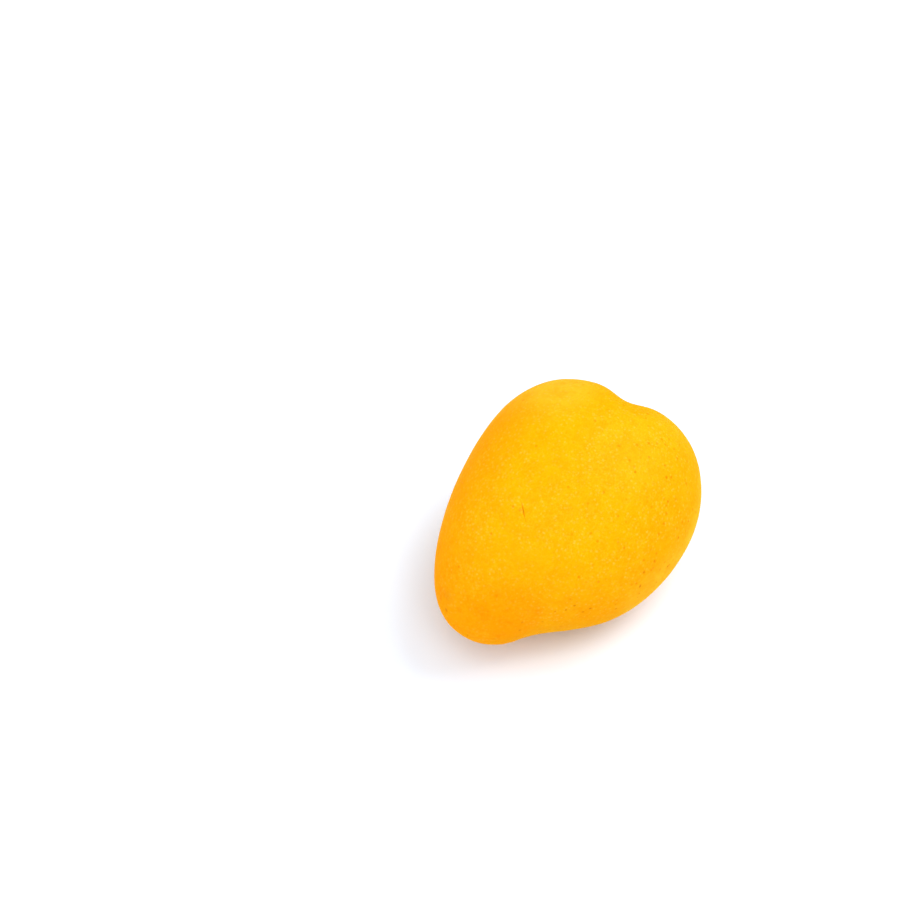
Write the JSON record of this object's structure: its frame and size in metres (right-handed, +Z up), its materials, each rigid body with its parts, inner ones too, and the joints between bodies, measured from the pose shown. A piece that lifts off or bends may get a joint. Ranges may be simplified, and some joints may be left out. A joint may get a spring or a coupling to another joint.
{
  "type": "mango",
  "caption": "Whole ripe golden-yellow mango, heart-shaped with a deep shoulder at the stem end, lying on one cheek, with the dried stub of its stalk.",
  "frame": {"origin": "on the surface that the fruit lies on, under the centre of its bounding box", "axes": "+Z up from that surface, +Y along the core towards the stem end, +X towards the front, the side with the sinus"},
  "size_m": [0.0858, 0.1068, 0.0769],
  "materials": {
    "mango_skin": "satin waxy fruit skin, golden yellow with an orange tint and fine pale dots",
    "dry_stalk": "rough, dry dark brown bark with paler broken ends"
  },
  "bodies": {
    "root": {"fruit": "mango_skin", "stem_stub": "dry_stalk"}
  },
  "joints": []
}
